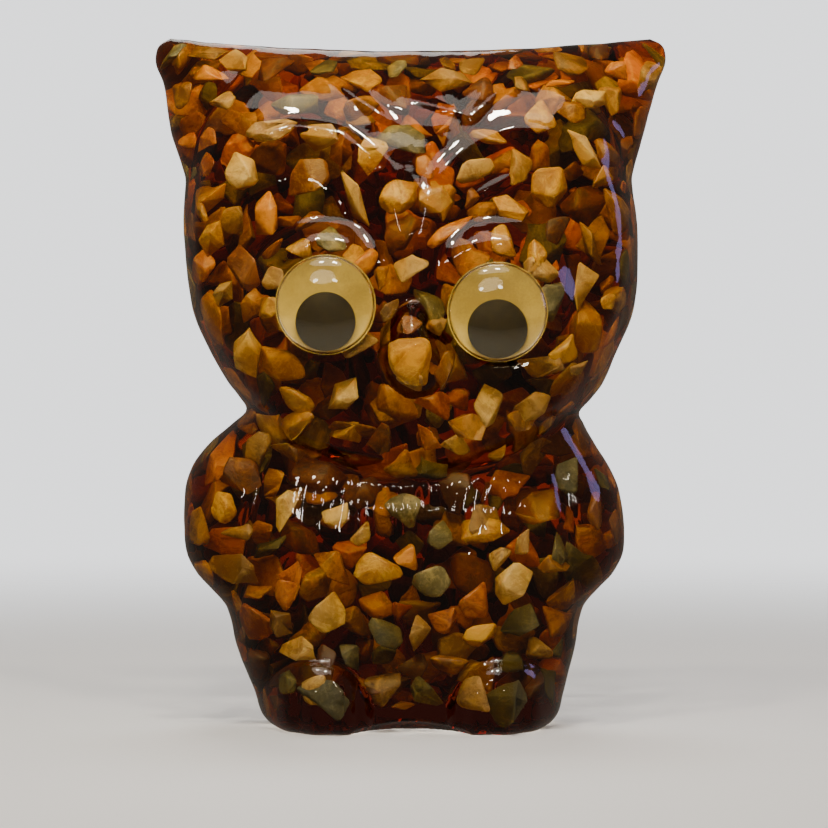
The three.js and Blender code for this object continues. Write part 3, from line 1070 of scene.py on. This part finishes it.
@dataclass
class ChipFill:
    """All the chips in the casting, in layers from the skin inwards, grouped by stone."""

    casting: ResinCasting
    seed: int = 7
    shapes: int = 32
    corners: int = 10
    corner_reach: tuple[float, float] = (0.84, 1.14)  # least and most, as a share of the size
    flat_within_deg: float = 12.0
    wear: float = 0.19
    lumps: tuple[float, float] = (0.16, 0.05)  # broad and fine
    elbow_room: float = 1.3  # round the chips placed one by one, as a share of their size
    ahead_y: float = -40.0  # in front of the whole front skin
    cover_mm: float = 0.6
    press_reach_mm: float = 9.0
    bed: float = 0.75  # how much of its half thickness a chip placed one by one lies under the cover
    hand_scale: float = 1.15  # a tumbled chip is smaller than the size it is made for
    hand_tones: tuple[float, float] = (0.5, 0.85)
    thicknesses: tuple[float, float] = (0.36, 0.56)  # of half the thickness, as a share of size
    widths: tuple[float, float] = (0.58, 0.92)  # as a share of length
    sunk: float = 0.8  # how much of its half thickness a loose chip lies under the cover
    tones: tuple[float, float] = (0.2, 0.7)
    palest_from_mm: float = 84.0  # painted shade: chips get darker tones towards the base, as if less light reached them, so tones are full only above this
    # the share of its tone that a chip keeps at the base, as painted shade
    low_tone: float = 0.4
    floor_mm: float = 3.0  # no loose chip lies lower, because the last resin poured was clear
    layers: tuple = (
        Layer(0.0, 3.0, (3.0, 7.4), 0.74, 5200),
        Layer(4.2, 2.4, (3.2, 7.4), 0.72, 4400),
        Layer(9.4, 2.4, (4.0, 7.6), 0.82, 2400),
    )

    def __post_init__(self) -> None:
        """Start the repeatable random numbers, the skin search and the store of shapes."""
        self.rng = np.random.default_rng(self.seed)
        self.skin = SkinSearch(self.casting)
        self.rough = [self.rough_shape() for _ in range(self.shapes)]

    def rough_shape(self) -> tuple[Array, list]:
        """Return the points and faces of a tumbled chip: a worn hull round a few random corners."""
        spread = self.rng.normal(size=(self.corners, 3))
        spread /= np.linalg.norm(spread, axis=1, keepdims=True)
        spread *= self.rng.uniform(*self.corner_reach, (self.corners, 1))
        bm = bmesh.new()
        for point in spread:
            bm.verts.new(point)
        hull = bmesh.ops.convex_hull(bm, input=bm.verts)
        inside = hull["geom_interior"] + hull["geom_unused"]
        spare = {part for part in inside if isinstance(part, bmesh.types.BMVert)}
        bmesh.ops.delete(bm, geom=list(spare), context="VERTS")
        bmesh.ops.dissolve_limit(
            bm, angle_limit=math.radians(self.flat_within_deg), verts=bm.verts, edges=bm.edges
        )
        bmesh.ops.bevel(
            bm, geom=bm.edges[:], offset=self.wear, segments=3, profile=0.5, affect="EDGES",
            clamp_overlap=True,
        )
        bmesh.ops.triangulate(bm, faces=bm.faces)
        lump = Vector(self.rng.uniform(0, 50, 3))
        broad, fine = self.lumps
        for vertex in bm.verts:
            swell = broad * noise.noise(vertex.co * 1.3 + lump)
            vertex.co *= 1 + swell + fine * noise.noise(vertex.co * 4 + lump)
        bm.verts.index_update()
        points = np.array([v.co[:] for v in bm.verts])
        faces = [[v.index for v in f.verts] for f in bm.faces]
        bm.free()
        return points, faces

    def bedded(
        self, middle: Array, half: tuple[float, float], along: Array, stone: Stone, tone: float,
        thickness: float = 0.0,
    ) -> Chip:
        """Lay a chip flat, just under the skin.

        Args:
            middle: A point near its place on the skin.
            half: Half its length and half its width.
            along: The direction of its length, before it is laid flat.
            stone: Its kind.
            tone: How light it is, from 0 to 1.
            thickness: Its thickness, where that isn't the usual one.

        Returns:
            The chip.
        """
        spot, outward, _ = self.skin.nearest(middle)
        flat = along - outward * (along @ outward)
        thick = thickness / 2 or 1.6 + 0.14 * half[0]
        length, width = (size * self.hand_scale for size in half)
        return Chip(
            spot - outward * (thick * self.bed + self.cover_mm), outward,
            flat / np.linalg.norm(flat), (length, width, thick), stone, tone,
            int(self.rng.integers(self.shapes)),
        )

    def placed_by_frame(self) -> list[Chip]:
        """Return a chip for each one that the frame places in the skin."""
        chips = []
        for row in frame["record"]["subparts"]:
            node, slot = row["node"], row["material_slot"]
            if "_chip" not in node or node.startswith(("beak", "foot")):  # those are placed from the list of seen chips
                continue
            corners = np.array([v.co[:] for v in frame["nodes"][node].data.vertices]) / MM
            middle = (corners.min(axis=0) + corners.max(axis=0)) / 2
            outward = self.skin.nearest(middle)[1]
            flat = corners - middle
            flat -= np.outer(flat @ outward, outward)
            along = np.linalg.svd(flat, full_matrices=False)[2][0]
            half = (np.ptp(flat @ along) / 2, np.ptp(flat @ np.cross(outward, along)) / 2)
            stone = Stone[slot.split("_")[0].upper()]
            tone = float(self.rng.uniform(*self.hand_tones))
            chips.append(self.bedded(middle, half, along, stone, tone))
        return chips

    def placed_by_eye(self) -> list[Chip]:
        """Return a chip for each further one that stands out on the front."""
        chips = []
        for seen in SEEN_CHIPS:
            upright = seen.height > seen.width
            turn = math.radians(seen.turn + (90 if upright else 0))
            along = np.array([math.cos(turn), 0.0, math.sin(turn)])
            half = sorted((seen.width / 2, seen.height / 2), reverse=True)
            chips.append(self.bedded(
                np.array([seen.x, self.ahead_y, seen.z]), tuple(half), along, seen.stone, seen.tone,
                seen.thickness,
            ))
        return chips

    def packed(self, taken: list[Chip]) -> list[Chip]:
        """Pack further chips round those already there, layer by layer.

        Args:
            taken: The chips placed already, which each layer leaves room for.

        Returns:
            The further chips.
        """
        made: list[Chip] = []
        for layer in self.layers:
            centres = np.zeros((layer.tries + len(taken), 3))
            reach = np.zeros(len(centres))
            for count, chip in enumerate(taken):
                centres[count] = chip.centre
                reach[count] = self.elbow_room * math.sqrt(chip.half[0] * chip.half[1])
            count = len(taken)
            spots, normals = self.skin.scatter(self.rng, layer.tries)
            small, large = layer.half_length
            for attempt in range(layer.tries):
                eagerness = (1 - attempt / layer.tries) ** 1.2
                size = small + (large - small) * eagerness * self.rng.uniform(0.55, 1)
                thick = size * self.rng.uniform(*self.thicknesses)
                outward = normals[attempt]
                down = layer.depth + layer.depth_spread * self.rng.random() ** 2
                spot = spots[attempt] - outward * (down + thick * self.sunk + self.cover_mm)
                half = (size, size * self.rng.uniform(*self.widths), thick)
                radius = math.sqrt(half[0] * half[1])
                gaps = np.linalg.norm(centres[:count] - spot, axis=1)
                if (gaps < (radius + reach[:count]) * layer.spacing).any():
                    continue
                if self.skin.nearest(spot)[2] < thick * self.sunk or spot[2] < self.floor_mm + size:
                    continue
                turned = self.rng.normal(size=3)
                along = turned - outward * (turned @ outward)
                centres[count], reach[count] = spot, radius
                count += 1
                # painted shade: the lower a chip lies, the darker its tone, standing in for light that
                # falls off towards the base
                rise = (1 - self.low_tone) * spot[2] / self.palest_from_mm
                tone = self.rng.uniform(*self.tones) * min(1.0, self.low_tone + rise)
                made.append(Chip(
                    spot, outward, along / np.linalg.norm(along), half, self.pick_stone(),
                    float(tone), int(self.rng.integers(self.shapes)),
                ))
            LOG.info("down to %.1f mm: %d chips", layer.depth, len(made))
        return made

    def pick_stone(self) -> Stone:
        """Draw a kind of stone by how common it is."""
        kinds = list(Stone)
        shares = np.array([kind.value.share for kind in kinds])
        return kinds[self.rng.choice(len(kinds), p=shares / shares.sum())]

    def settle(self, chip: Chip) -> tuple[Array, list]:
        """Shape one chip, and press it back wherever it would come through the skin.

        Args:
            chip: The chip to shape.

        Returns:
            Its points, in millimetres, and its faces.
        """
        unit, faces = self.rough[chip.shape]
        across = np.cross(chip.outward, chip.along)
        basis = np.stack([chip.along, across, chip.outward])
        points = (unit * np.array(chip.half)) @ basis + chip.centre
        depth = self.skin.nearest(chip.centre)[2]
        if depth > chip.half[0] * 1.2 + self.cover_mm:
            return points, faces
        for i, point in enumerate(points):
            found = self.skin.nearest(point, self.press_reach_mm)
            if found is not None and found[2] < self.cover_mm:
                points[i] = found[0] - found[1] * self.cover_mm
        return points, faces

    def build(self) -> dict[Stone, bpy.types.Object]:
        """Make one piece for each kind of stone, holding all of its chips."""
        by_hand = self.placed_by_frame() + self.placed_by_eye()
        chips = by_hand + self.packed(by_hand)
        pieces = {}
        for stone in Stone:
            points, faces, tones = [], [], []
            for chip in (c for c in chips if c.stone is stone):
                shaped, shaped_faces = self.settle(chip)
                first = len(points)
                points.extend(shaped)
                faces.extend([[first + i for i in face] for face in shaped_faces])
                tones.extend([chip.tone] * len(shaped))
            piece = mesh_object(f"{stone.name.lower()}_chips", np.array(points), faces)
            tone = piece.data.attributes.new(TONE, "FLOAT", "POINT")
            tone.data.foreach_set("value", np.array(tones, np.float32))
            pieces[stone] = piece
            LOG.info("%s: %d faces", piece.name, len(faces))
        return pieces

    def dress(self, pieces: dict[Stone, bpy.types.Object]) -> None:
        """Give each kind of stone its finish, and its place on the owl.

        Args:
            pieces: Each kind's mesh object.
        """
        rows = frame["record"]["subparts"]
        for stone, piece in pieces.items():
            piece.data.materials.append(stone.value.build())
            piece.visible_shadow = stone.value.casts_shadow
            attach(piece, "owl")
            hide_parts(*[row["node"] for row in rows if row["material_slot"] == stone.slot])


# ---------------------------------------------------------------- the wobble eyes


@dataclass
class WobbleEye:
    """A glued-on eye: yellowed backing, clear cap, loose pupil and the glue behind."""

    side: str
    segments: int = 96
    wall: float = 0.35
    flange: float = 0.22
    lip: float = 0.5
    lip_slope: float = 0.2
    straight: float = 2.3  # the height of the cap's straight side
    dome_steps: int = 20
    shoulder: float = 0.86  # below 1, the dome is fuller near its edge
    rim: float = 0.45
    dish: float = 0.12
    pupil_edge: float = 0.16
    glue_edge: float = 0.2

    def part_box(self, piece: str) -> tuple[Vector, float, float]:
        """Read one of the eye's pieces from the frame.

        Args:
            piece: The piece's name without its side.

        Returns:
            The middle of its back face, its radius and its thickness, in millimetres.
        """
        low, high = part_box(f"eye_{piece}_{self.side}")
        middle = (low + high) / 2 / MM
        back = Vector((middle.x, high.y / MM, middle.z))
        return back, (high.x - low.x) / 2 / MM, (high.y - low.y) / MM

    def turned(self, name: str, piece: str, profile: Pairs) -> bpy.types.Object:
        """Turn a profile and lay it where the frame has the piece, facing out of the face.

        Args:
            name: The object's name without its side.
            piece: The frame's name for the piece, without its side.
            profile: Radius and height, in millimetres, from axis to axis.

        Returns:
            The turned object.
        """
        made = lathe_mesh(f"{name}_{self.side}", profile, self.segments)
        back, _, _ = self.part_box(piece)
        made.data.transform(Matrix.Translation(back * MM) @ Matrix.Rotation(math.pi, 4, "Z"))
        return made

    def backing(self) -> bpy.types.Object:
        """Make the backing: a disc dished slightly inside a raised rim."""
        _, radius, thick = self.part_box("backing")
        dish, inner = self.dish, radius - self.rim
        return self.turned("eye_backing_disc", "backing", [
            (0, 0), (radius - 0.15, 0), (radius, 0.15), (radius, thick - dish),
            (radius - dish, thick), (inner, thick), (inner - dish, thick - dish),
            (0, thick - dish),
        ])

    def dome(self, radius: float, rise: float) -> list[tuple[float, float]]:
        """Follow the cap's dome from its straight side up to the axis.

        Args:
            radius: The radius of the straight side.
            rise: The height of the dome above it.

        Returns:
            Radius and height at each step, on a quarter ellipse with a full shoulder.
        """
        turns = [math.pi / 2 * i / self.dome_steps for i in range(self.dome_steps)]
        points = [
            (radius * math.cos(t) ** self.shoulder, self.straight + rise * math.sin(t)) for t in turns
        ]
        return [*points, (0.0, self.straight + rise)]

    def cap(self) -> bpy.types.Object:
        """Make the clear cap: a small flange, a straight side and a shallow dome."""
        _, radius, deep = self.part_box("cap")
        crown = deep - self.straight
        brim, bore = radius + self.flange, radius - self.wall
        inner = [*reversed(self.dome(bore, crown - self.wall)), (bore, 0)]
        outer = [(brim, 0), (brim, self.lip), (radius, self.lip + self.lip_slope)]
        return self.turned("eye_dome", "cap", [*inner, *outer, *self.dome(radius, crown)])

    def pupil(self) -> bpy.types.Object:
        """Make the loose pupil: a punched disc with slightly rounded edges."""
        _, radius, thick = self.part_box("pupil")
        edge = self.pupil_edge
        return self.turned("eye_pupil_disc", "pupil", [
            (0, 0), (radius - edge, 0), (radius, edge), (radius, thick - edge),
            (radius - edge * 0.4, thick - edge * 0.35), (radius - edge * 1.2, thick),
            (0, thick),
        ])

    def glue(self) -> bpy.types.Object:
        """Make the dab of adhesive: a flat blob with an uneven edge."""
        _, radius, thick = self.part_box("glue")
        made = self.turned("eye_glue_dab", "glue", [
            (0, 0), (radius - self.glue_edge, 0), (radius, thick * 0.3), (radius, thick * 0.7),
            (radius - self.glue_edge, thick), (0, thick),
        ])
        centre = self.part_box("glue")[0] * MM
        for vertex in made.data.vertices:
            across = Vector((vertex.co.x - centre.x, 0, vertex.co.z - centre.z))
            angle = math.atan2(across.z, across.x)
            swell = 1 + 0.06 * math.sin(3 * angle + 1) + 0.04 * math.sin(5 * angle)
            vertex.co.x = centre.x + across.x * swell
            vertex.co.z = centre.z + across.z * swell
        return made

    def build(self) -> None:
        """Make, dress and place the four pieces of the eye."""
        rows = [
            (self.glue(), DriedGlue(), "glue", "owl", "eye_glue"),
            (self.backing(), YellowedStyrene(), "backing", "owl", "eye_white"),
            (self.pupil(), BlackStyrene(), "pupil", f"{self.side}_pupil", "eye_black"),
            (self.cap(), ClearAcetate(), "cap", "owl", "eye_clear"),
        ]
        for made, finish, piece, body, slot in rows:
            made.data.materials.append(finish.build())
            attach(made, body)
            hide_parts(f"eye_{piece}_{self.side}")
            LOG.info("%s rides on %s", made.name, body)
        rows[-1][0].visible_shadow = False


# ---------------------------------------------------------------- stage, lights and camera


@dataclass(frozen=True)
class SoftLamp:
    """A round soft light that looks at the owl."""

    name: str
    place_mm: tuple[float, float, float]
    size_mm: float
    watts: float
    colour: Rgb
    mirrored: bool = True  # whether glossy surfaces show it

    def build(self, target_mm: tuple[float, float, float]) -> None:
        """Hang the lamp and turn it to the target.

        Args:
            target_mm: What it looks at.
        """
        data = bpy.data.lights.new(self.name, "AREA")
        data.shape = "DISK"
        data.size = self.size_mm * MM
        data.energy = self.watts
        data.color = self.colour
        lamp = bpy.data.objects.new(self.name, data)
        lamp.location = Vector(self.place_mm) * MM
        look = Vector(target_mm) * MM - lamp.location
        lamp.rotation_euler = look.to_track_quat("-Z", "Y").to_euler()
        lamp.visible_glossy = self.mirrored
        lamp.visible_camera = False
        bpy.context.scene.collection.objects.link(lamp)


@dataclass
class Studio:
    """A pale floor that fades into a pale room, soft lights, and a camera before the owl.

    Two small lamps near the face and two further off make its glints, and the broad ones above,
    ahead and behind light its chips. A weak violet one edges its +X side.
    """

    target_mm: tuple[float, float, float] = (0.75, -4.0, 65.7)
    distance_mm: float = 800.0
    elevation_deg: float = 1.5
    seen_height_mm: float = 172.4
    floor_sides: int = 64
    floor_colour: str = "#E6E6E6"
    floor_reach_mm: tuple[float, float] = (160.0, 620.0)  # where the floor starts and ends its fade
    room_glow: float = 0.12  # what the room gives the owl
    room_seen: float = 1.9  # how light the backdrop is
    room_tint: Rgb = (1.0, 0.87, 0.72)
    backdrop_tint: Rgb = (0.93, 0.94, 0.96)
    lamps: tuple = (
        SoftLamp("lamp_left", (-42, -135, 295), 24, 0.30, (1.0, 0.90, 0.76)),
        SoftLamp("lamp_right", (22, -135, 295), 24, 0.30, (1.0, 0.90, 0.76)),
        SoftLamp("glint_left", (-112, -593, 288), 42, 0.15, (1.0, 0.94, 0.82)),
        SoftLamp("glint_right", (49, -593, 288), 42, 0.15, (1.0, 0.94, 0.82)),
        SoftLamp("lamp_over", (-20, -230, 520), 340, 0.7, (1.0, 0.94, 0.84)),
        SoftLamp("lamp_fill", (-60, -760, 420), 300, 1.5, (1.0, 0.90, 0.76), mirrored=False),
        SoftLamp("lamp_edge", (330, 40, 170), 110, 0.08, (0.52, 0.42, 1.0)),
        SoftLamp("lamp_back", (-120, 420, 420), 300, 0.45, (1.0, 0.96, 0.90)),
        SoftLamp("lamp_floor", (0, 250, 700), 300, 3.0, (1.0, 0.98, 0.95), mirrored=False),
    )

    def build(self) -> None:
        """Make the floor, world, lamps and camera."""
        self.floor()
        self.world()
        for lamp in self.lamps:
            lamp.build(self.target_mm)
        self.camera()

    def floor(self) -> None:
        """Lay the floor under the owl: a wide disc that is clear towards its edge."""
        near, far = self.floor_reach_mm
        turns = [math.tau * i / self.floor_sides for i in range(self.floor_sides)]
        rim = np.array([(far * math.sin(turn), far * math.cos(turn), 0) for turn in turns])
        floor = mesh_object("floor", rim, [list(range(self.floor_sides))[::-1]], smooth=False)
        tree = Tree("pale_floor")
        where = tree.add("ShaderNodeTexCoord").outputs["Object"]
        away = tree.add("ShaderNodeVectorMath", {0: where}, operation="LENGTH")
        fade = tree.add(
            "ShaderNodeMapRange",
            {"Value": away.outputs["Value"], "From Min": near * MM, "From Max": far * MM * 0.98,
             "To Min": 1.0, "To Max": 0.0},
            interpolation_type="SMOOTHSTEP",
        )
        tree.set(
            Base_Color=linear(self.floor_colour), Roughness=0.8, Alpha=fade.outputs["Result"]
        )
        floor.data.materials.append(tree.material)
        floor.visible_diffuse = floor.visible_glossy = False

    def world(self) -> None:
        """Fill the room with a faint even light, in front of a pale backdrop."""
        world = bpy.data.worlds.new("studio")
        world.use_nodes = True
        nodes, links = world.node_tree.nodes, world.node_tree.links
        background = nodes["Background"]
        path = nodes.new("ShaderNodeLightPath")
        tint = nodes.new("ShaderNodeMix")
        tint.data_type = "RGBA"
        tint.inputs["A"].default_value = (*self.room_tint, 1)
        tint.inputs["B"].default_value = (*self.backdrop_tint, 1)
        links.new(path.outputs["Is Camera Ray"], tint.inputs["Factor"])
        links.new(tint.outputs["Result"], background.inputs["Color"])
        glow = nodes.new("ShaderNodeMapRange")
        glow.inputs["To Min"].default_value = self.room_glow
        glow.inputs["To Max"].default_value = self.room_seen
        links.new(path.outputs["Is Camera Ray"], glow.inputs["Value"])
        links.new(glow.outputs["Result"], background.inputs["Strength"])
        bpy.context.scene.world = world

    def camera(self) -> None:
        """Set the camera up in front of the owl and slightly above its middle."""
        data = bpy.data.cameras.new("camera")
        data.sensor_width = 36
        data.lens = data.sensor_width * self.distance_mm / self.seen_height_mm
        data.clip_start, data.clip_end = 0.01, 20
        camera = bpy.data.objects.new("camera", data)
        lift = math.radians(self.elevation_deg)
        back = Vector((0, -math.cos(lift), math.sin(lift)))
        camera.location = (Vector(self.target_mm) + back * self.distance_mm) * MM
        camera.rotation_euler = (-back).to_track_quat("-Z", "Y").to_euler()
        bpy.context.scene.collection.objects.link(camera)
        bpy.context.scene.camera = camera


def clear_start_scene() -> None:
    """Remove what a new Blender scene starts with, apart from the frame."""
    for name in ("Cube", "Light", "Camera"):
        found = bpy.data.objects.get(name)
        if found:
            bpy.data.objects.remove(found)


def main() -> None:
    """Build the stage, the casting, its chips and the eyes, in that order."""
    logging.basicConfig(level=logging.INFO)
    clear_start_scene()
    Studio().build()
    casting = ResinCasting()
    skin = casting.build()
    casting.dress(skin)
    LOG.info("%s: %d faces", skin.name, len(skin.data.polygons))
    fill = ChipFill(casting)
    fill.dress(fill.build())
    for side in ("left", "right"):
        WobbleEye(side).build()


if __name__ == "__main__":
    main()
